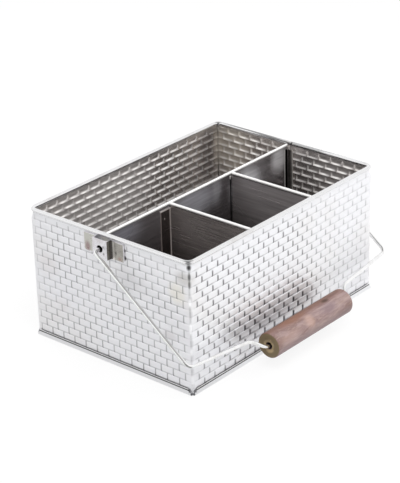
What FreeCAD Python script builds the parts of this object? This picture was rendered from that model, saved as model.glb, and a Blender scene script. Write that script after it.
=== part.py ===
import FreeCAD, Part
import math
import os

from FreeCAD import Vector

# A steel utensil caddy: an open box of embossed sheet with a wired rim, a folded base pan, one long
# divider, two cross dividers, two pivot brackets and a wire bail with a wooden grip.
# Millimetres. X runs along the box, Z is up, and the front, where the bail hangs, faces -Y.
# The origin is the centre of the base pan's underside, on the table.

# --- Driving dimensions: box ---------------------------------------------------------------------
box_length = 252.0            # outside of the end walls
box_width = 180.0             # outside of the front and rear walls
rim_top_height = 123.2        # table to the top of the rim
wall_thickness = 0.6
wall_corner_radius = 3.0      # outside of the bent wall corners

# --- Driving dimensions: rim ---------------------------------------------------------------------
rim_wire_diameter = 2.9
rim_wire_clearance = 0.05     # between the rim wire and the curl that wraps it
rim_sheet_thickness = 0.4
rim_corner_radius = 6.0       # centre line of the rim at the corners
curl_opening_start = 282.0    # degrees round the curl's section, where its free edge stops
curl_opening_end = 312.0

# --- Driving dimensions: base pan ----------------------------------------------------------------
base_thickness = 0.6
base_band_height = 5.8
base_band_gap = 1.0           # between the wall and the upturned band
base_corner_notch = 0.5       # band stops this far from the box's corners at its foot
base_band_slant = 3.5         # and this much further at its top edge
base_bend_radius = 0.3        # inside of the bend between the floor and the band

# --- Driving dimensions: dividers ----------------------------------------------------------------
divider_thickness = 0.7
divider_bead_diameter = 2.8
divider_top_drop = 2.2        # rim top down to the dividers' top
divider_bend_radius = 0.8     # inside of the bend between a divider and its flange
divider_fit = 0.3             # between a divider's bead and whatever it stops at
long_divider_offset = 4.5     # behind the box's centre plane
long_flange_width = 6.4
long_flange_drop = 6.0        # divider top down to the flange's top
cross_flange_width = 13.0
cross_flange_drop = 5.2
front_compartment_count = 3

# --- Driving dimensions: pivot brackets ----------------------------------------------------------
bracket_width = 46.0
bracket_height = 17.0
bracket_thickness = 1.0
bracket_drop = 12.9           # rim top down to the bracket's centre
bracket_offset = 3.0          # behind the box's centre plane
bracket_bend_radius = 0.6     # inside of the bends
bracket_corner_radius = 2.0   # corners of the flanges
hat_width = 17.0              # outside of the raised middle
hat_standoff = 6.0            # wall to the outside of the raised middle
edge_match = 0.05             # how nearly an edge matches a corner of the flange
pivot_hole_diameter = 6.6

# --- Driving dimensions: bail --------------------------------------------------------------------
bail_wire_diameter = 3.3
bail_rest_angle = 37.2        # degrees below horizontal, towards the front
bail_arm_gap = 6.6            # bracket's outside to the arm's centre line
bail_elbow_reach = 126.0      # pivot to the cross wire, at the elbow
bail_shoulder_reach = 132.8   # pivot to the cross wire, where it bends out to the grip
bail_grip_reach = 144.8       # pivot to the grip's axis
bail_shoulder_run = 11.0      # length along X of the slope from cross wire to grip
bail_grip_run = 3.0           # length along X from the grip's end to that slope
bail_pivot_bend = 4.0
bail_elbow_bend = 7.0
bail_shoulder_bend = 12.0
bail_grip_bend = 9.0
bail_head_overlap = 1.0       # upset end, beyond the edge of the pivot hole
bail_head_thickness = 1.5
bail_head_clearance = 0.3     # between the upset end and the bracket

# --- Driving dimensions: grip --------------------------------------------------------------------
grip_diameter = 23.0
grip_length = 105.0
grip_bore_clearance = 0.85    # between the bail wire and the bore
grip_mouth_widening = 1.1     # extra radius, and depth, of the bore's bevelled mouths
grip_edge_radius = 0.8

# --- Worked-out places ---------------------------------------------------------------------------
rim_radius = rim_wire_diameter / 2 + rim_wire_clearance + rim_sheet_thickness
rim_centre_height = rim_top_height - rim_radius
rim_line_length = box_length - wall_thickness
rim_line_width = box_width - wall_thickness
inner_length = box_length - 2 * wall_thickness
inner_width = box_width - 2 * wall_thickness

divider_bead_radius = divider_bead_diameter / 2
divider_top_height = rim_top_height - divider_top_drop
divider_bead_height = divider_top_height - divider_bead_radius
divider_rim_stop = rim_radius - wall_thickness / 2 + divider_fit
long_divider_front = long_divider_offset - divider_thickness / 2

bracket_centre_height = rim_top_height - bracket_drop
pivot_x = box_length / 2 + hat_standoff
arm_x = pivot_x + bail_arm_gap
grip_end_x = grip_length / 2
grip_slope_x = grip_end_x + bail_grip_run
shoulder_x = grip_slope_x + bail_shoulder_run


def bail_point(x, reach):
    """The point of the bail's tilted plane at x, reach away from the pivot axis."""
    angle = math.radians(bail_rest_angle)
    return Vector(
        x,
        bracket_offset - reach * math.cos(angle),
        bracket_centre_height - reach * math.sin(angle),
    )


def rounded_path(points, radii):
    """Edges through the points, with an arc of the given radius at each inner point."""
    edges = []
    start = points[0]
    for before, corner, after, radius in zip(points, points[1:], points[2:], radii):
        to_before = (before - corner).normalize()
        to_after = (after - corner).normalize()
        half_angle = to_before.getAngle(to_after) / 2
        setback = radius / math.tan(half_angle)
        bisector = (to_before + to_after).normalize()
        centre = corner + bisector * (radius / math.sin(half_angle))
        arc_start = corner + to_before * setback
        arc_end = corner + to_after * setback
        edges.append(Part.makeLine(start, arc_start))
        edges.append(Part.Arc(arc_start, centre - bisector * radius, arc_end).toShape())
        start = arc_end
    edges.append(Part.makeLine(start, points[-1]))
    return edges


def rounded_rectangle(length, width, radius, height):
    """A closed rectangle with round corners, centred on the Z axis at the given height."""
    x = length / 2
    y = width / 2
    corners = [Vector(-x, -y, height), Vector(x, -y, height), Vector(x, y, height), Vector(-x, y, height)]
    middle = Vector(0, -y, height)
    edges = rounded_path([middle] + corners[1:] + [corners[0], middle], [radius] * 4)
    return Part.Wire(edges)


def rounded_plate(length, width, radius, bottom, top):
    """A flat plate with round corners between two heights."""
    outline = rounded_rectangle(length, width, radius, bottom)
    return Part.Face(outline).extrude(Vector(0, 0, top - bottom))


def box_between(low, high):
    """A plain block between two opposite corners."""
    size = high - low
    return Part.makeBox(size.x, size.y, size.z, low)


def bent_strip(points, turns, inside_radius, thickness, height):
    """A strip bent through the points, its thickness to their left, extruded upwards.

    turns holds +1 for each inner point that turns left and -1 for each that turns right.
    """
    directions = [(b - a).normalize() for a, b in zip(points, points[1:])]
    normals = [Vector(-d.y, d.x, 0) for d in directions]
    offset = [points[0] + normals[0] * thickness]
    for corner, first, second in zip(points[1:], normals, normals[1:]):
        bisector = first + second
        offset.append(corner + bisector * (2 * thickness / bisector.dot(bisector)))
    offset.append(points[-1] + normals[-1] * thickness)
    near_radii = [inside_radius + thickness if turn > 0 else inside_radius for turn in turns]
    far_radii = [inside_radius if turn > 0 else inside_radius + thickness for turn in turns]
    near_side = rounded_path(points, near_radii)
    far_side = rounded_path(offset, far_radii)
    ends = [Part.makeLine(points[0], offset[0]), Part.makeLine(points[-1], offset[-1])]
    outline = Part.Wire(Part.__sortEdges__(near_side + far_side + ends))
    return Part.Face(outline).extrude(Vector(0, 0, height))


def curl_section(radius, thickness):
    """The C-shaped section of a curled edge, in the XZ plane about the origin."""
    opening_start = math.radians(curl_opening_start)
    opening_end = math.radians(curl_opening_end)

    def at(distance, angle):
        return Vector(distance * math.cos(angle), 0, distance * math.sin(angle))

    inner = radius - thickness
    middle_angle = (opening_start + opening_end) / 2 + math.pi
    outer_arc = Part.Arc(at(radius, opening_end), at(radius, middle_angle), at(radius, opening_start))
    inner_arc = Part.Arc(at(inner, opening_end), at(inner, middle_angle), at(inner, opening_start))
    lips = [
        Part.makeLine(at(radius, opening_end), at(inner, opening_end)),
        Part.makeLine(at(radius, opening_start), at(inner, opening_start)),
    ]
    outline = Part.Wire(Part.__sortEdges__([outer_arc.toShape(), inner_arc.toShape()] + lips))
    return Part.Face(outline)


def swept_round_box(section, length, width, radius, height):
    """A section in the XZ plane, +X outwards, carried round a rectangle with round corners."""
    pieces = []
    spans = [length, width, length, width]
    for quarter, span in enumerate(spans):
        across = spans[(quarter + 1) % 4]
        side = section.copy()
        side.translate(Vector(across / 2, 0, height))
        side.translate(Vector(0, -(span / 2 - radius), 0))
        straight = side.extrude(Vector(0, span - 2 * radius, 0))
        side.translate(Vector(0, span - 2 * radius, 0))
        corner_centre = Vector(across / 2 - radius, span / 2 - radius, 0)
        corner = side.revolve(corner_centre, Vector(0, 0, 1), 90)
        for piece in (straight, corner):
            piece.rotate(Vector(0, 0, 0), Vector(0, 0, 1), 90 * (quarter - 1))
            pieces.append(piece)
    return pieces[0].fuse(pieces[1:]).removeSplitter()


def make_wall_band():
    """One strip of sheet bent into the four walls, its top edge curled over the rim wire."""
    bottom = base_thickness
    top = rim_centre_height - rim_radius + rim_sheet_thickness / 2
    outside = rounded_plate(box_length, box_width, wall_corner_radius, bottom, top)
    inside_radius = wall_corner_radius - wall_thickness
    inside = rounded_plate(inner_length, inner_width, inside_radius, bottom, top)
    curl = swept_round_box(
        curl_section(rim_radius, rim_sheet_thickness),
        rim_line_length, rim_line_width, rim_corner_radius, rim_centre_height,
    )
    return outside.cut(inside).fuse(curl).removeSplitter()


def make_rim_wire():
    """The stiffening wire inside the curled rim."""
    circle = Part.Circle(Vector(0, 0, 0), Vector(0, 1, 0), rim_wire_diameter / 2)
    section = Part.Face(Part.Wire(circle.toShape()))
    return swept_round_box(
        section, rim_line_length, rim_line_width, rim_corner_radius, rim_centre_height
    )


def make_base_pan():
    """The floor, with a low band turned up outside each wall and open at the corners."""
    pan = rounded_plate(box_length, box_width, wall_corner_radius, 0, base_thickness)
    reach = base_band_gap + base_thickness
    for quarter in range(4):
        along, across = (box_length, box_width) if quarter % 2 == 0 else (box_width, box_length)
        half_run = along / 2 - base_corner_notch
        wall_face = across / 2
        outside = [
            Vector(0, -wall_face + wall_corner_radius, 0),
            Vector(0, -(wall_face + reach), 0),
            Vector(0, -(wall_face + reach), base_band_height),
        ]
        inside = [
            Vector(0, -(wall_face + base_band_gap), base_band_height),
            Vector(0, -(wall_face + base_band_gap), base_thickness),
            Vector(0, -wall_face + wall_corner_radius, base_thickness),
        ]
        edges = rounded_path(outside, [base_bend_radius + base_thickness])
        edges += rounded_path(inside, [base_bend_radius])
        edges.append(Part.makeLine(outside[-1], inside[0]))
        edges.append(Part.makeLine(inside[-1], outside[0]))
        band = Part.Face(Part.Wire(Part.__sortEdges__(edges))).extrude(Vector(2 * half_run, 0, 0))
        band.translate(Vector(-half_run, 0, 0))
        for side in (1, -1):
            foot = Vector(side * half_run, -(wall_face + reach), base_thickness)
            top = Vector(side * half_run, -(wall_face + reach), base_band_height)
            slanted = top - Vector(side * base_band_slant, 0, 0)
            waste = Part.Face(Part.makePolygon([foot, top, slanted, foot]))
            band = band.cut(waste.extrude(Vector(0, reach, 0)))
        band.rotate(Vector(0, 0, 0), Vector(0, 0, 1), 90 * quarter)
        pan = pan.fuse(band)
    return pan.removeSplitter()


def divider(length, bead_start, bead_end, flange_width, flange_drop):
    """A sheet divider along +X from the origin: two flanges to its right and a curled top edge.

    The sheet's left face lies on the X axis's plane, and its bead runs between the two bead values.
    """
    flange_top = divider_top_height - flange_drop
    points = [
        Vector(0, -flange_width, 0),
        Vector(0, 0, 0),
        Vector(length, 0, 0),
        Vector(length, -flange_width, 0),
    ]
    points.reverse()
    strip = bent_strip(
        points, [1, 1], divider_bend_radius, divider_thickness, flange_top - base_thickness
    )
    strip.translate(Vector(0, 0, base_thickness))
    bend = divider_bend_radius + divider_thickness
    web = box_between(
        Vector(bend, -divider_thickness, base_thickness),
        Vector(length - bend, 0, divider_bead_height - divider_bead_radius + divider_thickness / 2),
    )
    bead = curl_section(divider_bead_radius, divider_thickness)
    bead.rotate(Vector(0, 0, 0), Vector(0, 0, 1), -90)
    bead = bead.extrude(Vector(bead_end - bead_start, 0, 0))
    bead.translate(Vector(bead_start, -divider_thickness / 2, divider_bead_height))
    return strip.fuse([web, bead]).removeSplitter()


def make_long_divider():
    """The divider from end wall to end wall; its flanges turn towards the front."""
    shape = divider(
        inner_length, divider_rim_stop, inner_length - divider_rim_stop,
        long_flange_width, long_flange_drop,
    )
    shape.translate(Vector(-inner_length / 2, long_divider_offset + divider_thickness / 2, 0))
    return shape


def make_cross_divider(number):
    """A divider from the long divider to the front wall; the last one faces the other way."""
    start = long_divider_front
    end = -inner_width / 2
    length = start - end
    rear_stop = divider_bead_radius - divider_thickness / 2 + divider_fit
    front_stop = length - divider_rim_stop
    shape = divider(length, rear_stop, front_stop, cross_flange_width, cross_flange_drop)
    shape.translate(Vector(0, divider_thickness / 2, 0))
    if number == front_compartment_count - 1:
        shape = shape.mirror(Vector(0, 0, 0), Vector(0, 1, 0))
    shape.rotate(Vector(0, 0, 0), Vector(0, 0, 1), -90)
    place = -box_length / 2 + number * box_length / front_compartment_count
    shape.translate(Vector(place, start, 0))
    return shape


def make_bracket(side):
    """A hat-shaped strap on an end wall; side is +1 at +X and -1 at -X."""
    half = bracket_width / 2
    hat = hat_width / 2
    points = [
        Vector(0, -half, 0),
        Vector(0, -hat + bracket_thickness, 0),
        Vector(hat_standoff - bracket_thickness, -hat + bracket_thickness, 0),
        Vector(hat_standoff - bracket_thickness, hat - bracket_thickness, 0),
        Vector(0, hat - bracket_thickness, 0),
        Vector(0, half, 0),
    ]
    points.reverse()
    strap = bent_strip(points, [-1, 1, 1, -1], bracket_bend_radius, bracket_thickness, bracket_height)
    corners = [
        edge for edge in strap.Edges
        if abs(edge.Length - bracket_thickness) < edge_match
        and abs(abs(edge.CenterOfMass.y) - half) < edge_match
        and abs(edge.tangentAt(edge.FirstParameter).x) > math.cos(math.pi / 4)
    ]
    strap = strap.makeFillet(bracket_corner_radius, corners)
    strap.translate(Vector(box_length / 2, bracket_offset, bracket_centre_height - bracket_height / 2))
    hole_start = Vector(box_length / 2 + bracket_thickness, bracket_offset, bracket_centre_height)
    hole = Part.makeCylinder(pivot_hole_diameter / 2, hat_standoff, hole_start, Vector(1, 0, 0))
    strap = strap.cut(hole)
    if side < 0:
        strap = strap.mirror(Vector(0, 0, 0), Vector(1, 0, 0))
    return strap


def make_bail_wire():
    """One wire: upset end, pivot bend, arm, elbow, cross wire, grip, and the same mirrored."""
    head_x = pivot_x - bracket_thickness - bail_head_clearance - bail_head_thickness
    half = [
        (head_x, 0, None),
        (arm_x, 0, bail_pivot_bend),
        (arm_x, bail_elbow_reach, bail_elbow_bend),
        (shoulder_x, bail_shoulder_reach, bail_shoulder_bend),
        (grip_slope_x, bail_grip_reach, bail_grip_bend),
    ]
    right = [bail_point(x, reach) for x, reach, _ in half]
    left = [bail_point(-x, reach) for x, reach, _ in reversed(half)]
    bends = [bend for _, _, bend in half[1:]]
    path = Part.Wire(rounded_path(right + left, bends + bends[::-1]))
    section = Part.Circle(right[0], Vector(1, 0, 0), bail_wire_diameter / 2)
    bail = path.makePipeShell([Part.Wire(section.toShape())], True, True)
    head_radius = pivot_hole_diameter / 2 + bail_head_overlap
    for side in (1, -1):
        start = bail_point(side * head_x, 0)
        head = Part.makeCylinder(head_radius, bail_head_thickness, start, Vector(side, 0, 0))
        bail = bail.fuse(head)
    return bail.removeSplitter()


def make_grip():
    """The turned wooden grip on the straight middle of the bail."""
    start = bail_point(-grip_end_x, bail_grip_reach)
    along = Vector(1, 0, 0)
    body = Part.makeCylinder(grip_diameter / 2, grip_length, start, along)
    rims = [edge for edge in body.Edges if isinstance(edge.Curve, Part.Circle)]
    body = body.makeFillet(grip_edge_radius, rims)
    bore_radius = bail_wire_diameter / 2 + grip_bore_clearance
    mouth_radius = bore_radius + grip_mouth_widening
    bore = Part.makeCylinder(bore_radius, grip_length, start, along)
    for side in (1, -1):
        end = bail_point(side * grip_end_x, bail_grip_reach)
        mouth = Part.makeCone(mouth_radius, bore_radius, grip_mouth_widening, end, along * -side)
        bore = bore.fuse(mouth)
    return body.cut(bore)


pieces = {
    "wall_band": make_wall_band(),
    "rim_wire": make_rim_wire(),
    "base_pan": make_base_pan(),
    "long_divider": make_long_divider(),
    "cross_divider_left": make_cross_divider(1),
    "cross_divider_right": make_cross_divider(2),
    "pivot_bracket_left": make_bracket(-1),
    "pivot_bracket_right": make_bracket(1),
    "bail_wire": make_bail_wire(),
    "grip": make_grip(),
}

os.makedirs("parts", exist_ok=True)
for name, shape in pieces.items():
    shape.exportStep("parts/" + name + ".step")
    print(name, "valid", shape.isValid(), "solids", len(shape.Solids), "volume", round(shape.Volume, 1))
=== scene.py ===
"""Looks of a steel utensil caddy: brick-embossed walls, rolled rim, dividers, wire bail and walnut grip.

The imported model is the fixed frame. Sizes here are millimetres, turned into metres where meshes are made.
Spans that a material reads are metres. Colours are written as they show on a screen, 0 to 255.
"""

import logging
import math
from dataclasses import dataclass
from enum import Enum
from functools import cache

import bmesh
import bpy
from mathutils import Matrix, Vector


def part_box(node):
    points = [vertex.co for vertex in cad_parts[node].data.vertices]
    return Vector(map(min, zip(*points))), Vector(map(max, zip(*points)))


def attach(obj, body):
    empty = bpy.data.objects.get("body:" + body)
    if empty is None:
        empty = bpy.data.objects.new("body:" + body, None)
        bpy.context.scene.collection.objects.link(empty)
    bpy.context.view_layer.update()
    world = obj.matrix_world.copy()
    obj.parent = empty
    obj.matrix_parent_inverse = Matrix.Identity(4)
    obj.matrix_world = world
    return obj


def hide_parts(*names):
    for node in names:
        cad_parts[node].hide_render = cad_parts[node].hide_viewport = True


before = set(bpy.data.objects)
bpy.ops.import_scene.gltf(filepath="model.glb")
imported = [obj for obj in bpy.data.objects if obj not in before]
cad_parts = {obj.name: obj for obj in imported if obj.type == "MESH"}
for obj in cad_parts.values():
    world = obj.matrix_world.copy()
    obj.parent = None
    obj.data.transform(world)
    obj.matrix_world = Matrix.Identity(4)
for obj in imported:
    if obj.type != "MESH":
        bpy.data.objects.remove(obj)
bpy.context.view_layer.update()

LOG = logging.getLogger("utensil_caddy")
MM = 0.001
MERGE = 0.001
NEAR = 0.01
TINY = 1e-9
WHITE = (1.0, 1.0, 1.0, 1.0)

Triple = tuple[float, float, float]
Span = tuple[float, float]
Socket = bpy.types.NodeSocket


class Body(Enum):
    """The CAD bodies that new pieces ride on."""

    BOX = "box"
    GRIP = "grip"


class Slot(Enum):
    """The record's material slots, named with new pieces but not given to them."""

    EMBOSSED = "embossed_steel"
    WALNUT = "walnut"


class Pressing(Enum):
    """How far a brick is pressed out of the sheet."""

    FULL = "full"
    TOP = "top"
    UNDER_BRACKET = "under_bracket"


def linear(colour: Triple) -> list[float]:
    """Turns a screen colour into a linear one, by the usual sRGB curve."""
    shares = [part / 255 for part in colour]
    return [share / 12.92 if share <= 0.04045 else ((share + 0.055) / 1.055) ** 2.4 for share in shares]


def clamped(share: float) -> float:
    """Holds a share between 0 and 1."""
    return min(max(share, 0.0), 1.0)


def eased(share: float) -> float:
    """Holds a share between 0 and 1 and eases it at both ends."""
    share = clamped(share)
    return share * share * (3 - 2 * share)


class NodeGraph:
    """Short ways to place and join the nodes of a material, a world or a node group."""

    MIX_SOCKETS = (6, 7)
    MIX_RESULT = 2

    def __init__(self, tree: bpy.types.NodeTree) -> None:
        """Keeps the tree that nodes go in."""
        self.tree = tree

    def fill(self, socket: Socket, value: object) -> None:
        """Links a socket into an input, or sets a value there.

        Args:
            socket: The input.
            value: A socket to link or a plain value to set.
        """
        if isinstance(value, Socket):
            self.tree.links.new(value, socket)
        else:
            socket.default_value = value

    def add(self, kind: str, inputs: dict | None = None, **settings: object) -> bpy.types.Node:
        """Places a node.

        Args:
            kind: The node's Blender type name.
            inputs: Values or sockets for its inputs, by name or number.
            settings: Properties of the node.

        Returns:
            The new node.
        """
        node = self.tree.nodes.new(kind)
        for name, value in settings.items():
            setattr(node, name, value)
        for key, value in (inputs or {}).items():
            self.fill(node.inputs[key], value)
        return node

    def group(self, tree: bpy.types.NodeTree, inputs: dict) -> bpy.types.NodeOutputs:
        """Places a node group and returns its outputs."""
        return self.add("ShaderNodeGroup", inputs, node_tree=tree).outputs

    def math(self, operation: str, *values: object) -> Socket:
        """Places a Math node on up to three values and returns its result."""
        return self.add("ShaderNodeMath", dict(enumerate(values)), operation=operation).outputs[0]

    def product(self, first: object, *others: object) -> Socket:
        """Multiplies values, one after the other.

        Args:
            first: The first value or socket.
            others: What it is multiplied by.

        Returns:
            The product's socket.
        """
        for other in others:
            first = self.math("MULTIPLY", first, other)
        return first

    def vector_math(self, operation: str, *values: object) -> Socket:
        """Places a Vector Math node and returns its result."""
        node = self.add("ShaderNodeVectorMath", dict(enumerate(values)), operation=operation)
        return node.outputs["Value" if operation in ("LENGTH", "DOT_PRODUCT") else "Vector"]

    def split(self, vector: object) -> list[Socket]:
        """Returns a vector's X, Y and Z."""
        return list(self.add("ShaderNodeSeparateXYZ", {0: vector}).outputs)

    def blend(self, share: object, first: object, second: object, how: str = "MIX") -> Socket:
        """Mixes two colours.

        Args:
            share: How much of the second is taken.
            first: The first colour, linear, or its socket.
            second: The second colour, linear, or its socket.
            how: The blending mode.

        Returns:
            The mixed colour's socket.
        """
        node = self.add("ShaderNodeMix", {"Factor": share}, data_type="RGBA", blend_type=how)
        for number, value in zip(self.MIX_SOCKETS, (first, second)):
            self.fill(node.inputs[number], value if isinstance(value, Socket) else (*value, 1.0))
        return node.outputs[self.MIX_RESULT]

    def rescale(
        self, value: object, low: object, high: object, to_low: object = 0.0, to_high: object = 1.0,
        smooth: bool = False,
    ) -> Socket:
        """Maps a value from one range to another, held at the ends.

        Args:
            value: The value's socket.
            low: Where the first range starts.
            high: Where it ends.
            to_low: What low becomes.
            to_high: What high becomes.
            smooth: Eases in and out.

        Returns:
            The mapped value's socket.
        """
        kind = "SMOOTHSTEP" if smooth else "LINEAR"
        inputs = {0: value, 1: low, 2: high, 3: to_low, 4: to_high}
        return self.add("ShaderNodeMapRange", inputs, interpolation_type=kind).outputs[0]

    def swap(self, share: object, first: object, second: object) -> Socket:
        """Goes from one value to another as a share goes from 0 to 1."""
        return self.rescale(share, 0.0, 1.0, first, second)

    def noise(
        self, vector: object, scale: object = 1.0, detail: float = 3.0, roughness: float = 0.5,
        distortion: float = 0.0,
    ) -> Socket:
        """Places a Noise texture.

        Args:
            vector: The place it is read at.
            scale: How many cells there are to a unit.
            detail: How many finer layers it has.
            roughness: How strong the finer layers are.
            distortion: How far the place is pushed about.

        Returns:
            The noise's socket, from 0 to 1.
        """
        inputs = {
            "Vector": vector, "Scale": scale, "Detail": detail, "Roughness": roughness,
            "Distortion": distortion,
        }
        return self.add("ShaderNodeTexNoise", inputs).outputs[0]

    def rays(self) -> tuple[bpy.types.NodeOutputs, Socket]:
        """Tells the kinds of ray apart, and joins those that gloss and glass send out."""
        seen = self.add("ShaderNodeLightPath").outputs
        return seen, self.math("MAXIMUM", seen["Is Glossy Ray"], seen["Is Transmission Ray"])


def new_group(name: str, inputs: dict[str, str], outputs: dict[str, str]) -> NodeGraph:
    """Makes an empty node group with named sockets.

    Args:
        name: The group's name.
        inputs: Kinds of the input sockets, by name.
        outputs: Kinds of the output sockets, by name.

    Returns:
        The group's graph.
    """
    tree = bpy.data.node_groups.new(name, "ShaderNodeTree")
    for way, sockets in (("INPUT", inputs), ("OUTPUT", outputs)):
        for label, kind in sockets.items():
            tree.interface.new_socket(label, in_out=way, socket_type=f"NodeSocket{kind}")
    return NodeGraph(tree)


@cache
def metal_skin() -> bpy.types.NodeTree:
    """The brushed and slightly stained skin of sheet or wire.

    Returns:
        A group whose outputs are Colour, Roughness, Normal and Grain, the shade of the brushed lines.
    """
    graph = new_group(
        "metal_skin",
        {
            "Vector": "Vector", "Grain Stretch": "Vector", "Grain Depth": "Float", "Colour": "Color",
            "Stain": "Color", "Stain Size": "Float", "Stain Amount": "Float", "Roughness": "Float",
            "Roughness Spread": "Float",
        },
        {"Colour": "Color", "Roughness": "Float", "Normal": "Vector", "Grain": "Color"},
    )
    stain_span, line_span, grain_share, line_height = (0.48, 0.72), (0.2, 0.8), 0.6, 0.0001
    given = graph.add("NodeGroupInput").outputs
    stretched = graph.vector_math("MULTIPLY", given["Vector"], given["Grain Stretch"])
    grain = graph.noise(stretched, detail=4.0, roughness=0.65)
    cloud = graph.noise(given["Vector"], given["Stain Size"], roughness=0.6, distortion=0.6)
    share = graph.product(graph.rescale(cloud, *stain_span, smooth=True), given["Stain Amount"])
    stained = graph.blend(share, given["Colour"], given["Stain"])
    lines = graph.rescale(grain, *line_span, graph.math("SUBTRACT", 1.0, given["Grain Depth"]), 1.0)
    shade = graph.add("ShaderNodeCombineColor", {0: lines, 1: lines, 2: lines}).outputs[0]
    swing = graph.math("ADD", graph.product(grain, grain_share), graph.product(cloud, 1 - grain_share))
    swing = graph.math("SUBTRACT", swing, 0.5)
    bump = {"Strength": given["Grain Depth"], "Distance": line_height, "Height": grain}
    graph.add("NodeGroupOutput", {
        "Colour": graph.blend(1.0, stained, shade, "MULTIPLY"),
        "Roughness": graph.math("MULTIPLY_ADD", swing, given["Roughness Spread"], given["Roughness"]),
        "Normal": graph.add("ShaderNodeBump", bump).outputs["Normal"],
        "Grain": shade,
    })
    return graph.tree


@cache
def brick_marks() -> bpy.types.NodeTree:
    """Where a place on the embossed sheet lies within its brick.

    Returns:
        A group whose outputs are Head and Bed, 1 in the joint beside and below a brick, and Pocket, 1 in
        the brick's upper part.
    """
    numbers = (
        "Mirror", "Head Width", "Head From", "Bed Width", "Bed Fade", "Bed Rest", "Along Shift", "Down Shift",
    )
    graph = new_group(
        "brick_marks",
        {"Flat Place": "Vector", **dict.fromkeys(numbers, "Float")},
        dict.fromkeys(("Head", "Bed", "Pocket"), "Float"),
    )
    whole_bricks, head_core, bed_core, head_ease, bed_ease = 100.0, 0.55, 0.6, 0.15, 0.25
    pocket_top, pocket_foot, pocket_side = (0.0, 0.1), (0.5, 0.76), (0.08, 0.22)
    given = graph.add("NodeGroupInput").outputs
    along, down, _ = graph.split(given["Flat Place"])
    down = graph.math("ADD", down, given["Down Shift"])
    odd = graph.math("MODULO", graph.math("FLOOR", down), 2.0)
    shifted = graph.math("ADD", graph.math("MULTIPLY_ADD", odd, 0.5, along), given["Along Shift"])
    share = graph.math("FRACT", graph.math("ADD", shifted, whole_bricks))
    flipped = graph.math("SUBTRACT", 1.0, graph.product(share, 2.0))
    across = graph.math("MULTIPLY_ADD", flipped, given["Mirror"], share)
    depth = graph.math("FRACT", graph.math("ADD", down, whole_bricks))
    from_foot = graph.math("SUBTRACT", 1.0, depth)
    joints = [
        graph.rescale(value, graph.product(width, core), width, 1.0, 0.0, smooth=True)
        for value, width, core in (
            (across, given["Head Width"], head_core), (from_foot, given["Bed Width"], bed_core),
        )
    ]
    below_start = graph.math("SUBTRACT", depth, given["Head From"])
    past_fade = graph.math("SUBTRACT", across, given["Bed Fade"])
    graph.add("NodeGroupOutput", {
        "Head": graph.product(joints[0], graph.rescale(below_start, -head_ease, head_ease, smooth=True)),
        "Bed": graph.product(
            joints[1], graph.rescale(past_fade, 0.0, bed_ease, 1.0, given["Bed Rest"], smooth=True)
        ),
        "Pocket": graph.product(
            graph.rescale(depth, *pocket_top, smooth=True),
            graph.rescale(depth, *pocket_foot, 1.0, 0.0, smooth=True),
            graph.rescale(across, *pocket_side, smooth=True),
        ),
    })
    return graph.tree


@cache
def soft_spot() -> bpy.types.NodeTree:
    """A soft round spot with a ragged edge.

    Returns:
        A group whose output is Mask, 1 in the spot's middle and 0 from its reach on.
    """
    inputs = {"Vector": "Vector", "Centre": "Vector", "Reach": "Vector", "Raggedness": "Float"}
    graph = new_group("soft_spot", inputs, {"Mask": "Float"})
    core, ragged_scale = 0.25, 45.0
    given = graph.add("NodeGroupInput").outputs
    off = graph.vector_math("SUBTRACT", given["Vector"], given["Centre"])
    away = graph.vector_math("LENGTH", graph.vector_math("DIVIDE", off, given["Reach"]))
    rough = graph.math("SUBTRACT", graph.noise(given["Vector"], ragged_scale, detail=2.0), 0.5)
    away = graph.math("MULTIPLY_ADD", rough, given["Raggedness"], away)
    graph.add("NodeGroupOutput", {"Mask": graph.rescale(away, core, 1.0, 1.0, 0.0, smooth=True)})
    return graph.tree


@cache
def ruled_patch() -> bpy.types.NodeTree:
    """A patch with straight, crisp edges.

    Returns:
        A group whose output is Mask, 1 inside the box round Centre and 0 outside it.
    """
    graph = new_group(
        "ruled_patch", {"Vector": "Vector", "Centre": "Vector", "Half": "Vector"}, {"Mask": "Float"}
    )
    softness = 0.0001
    given = graph.add("NodeGroupInput").outputs
    off = graph.vector_math("ABSOLUTE", graph.vector_math("SUBTRACT", given["Vector"], given["Centre"]))
    x, y, z = graph.split(graph.vector_math("SUBTRACT", off, given["Half"]))
    outside = graph.math("MAXIMUM", graph.math("MAXIMUM", x, y), z)
    graph.add("NodeGroupOutput", {"Mask": graph.rescale(outside, -softness, softness, 1.0, 0.0)})
    return graph.tree


class Surface(NodeGraph):
    """A new material's graph, with the coordinates that its patterns read."""

    def __init__(self, name: str) -> None:
        """Makes the material, empty but for its coordinates.

        Args:
            name: The material's name.
        """
        self.material = bpy.data.materials.new(name)
        self.material.use_nodes = True
        self.material.node_tree.nodes.clear()
        super().__init__(self.material.node_tree)
        self.place = self.add("ShaderNodeTexCoord").outputs["Object"]

    def end(self, shader: bpy.types.Node) -> bpy.types.Material:
        """Ends the graph in a shader and returns the material."""
        self.add("ShaderNodeOutputMaterial", {"Surface": shader.outputs[0]})
        return self.material


@dataclass(frozen=True)
class Spot:
    """A soft spot of another colour on a finish, in millimetres."""

    centre: Triple
    reach: Triple
    colour: Triple = (0.0, 0.0, 0.0)
    amount: float = 1.0
    dull: float = 0.0
    raggedness: float = 0.3
    grained: bool = False

    def mask(self, graph: Surface) -> Socket:
        """Places the spot in a material's graph.

        Args:
            graph: The material's graph.

        Returns:
            The spot's mask, from 0 to its amount.
        """
        centre, reach = ([part * MM for part in triple] for triple in (self.centre, self.reach))
        inputs = {
            "Vector": graph.place, "Centre": centre, "Reach": reach, "Raggedness": self.raggedness,
        }
        return graph.product(graph.group(soft_spot(), inputs)["Mask"], self.amount)


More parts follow.
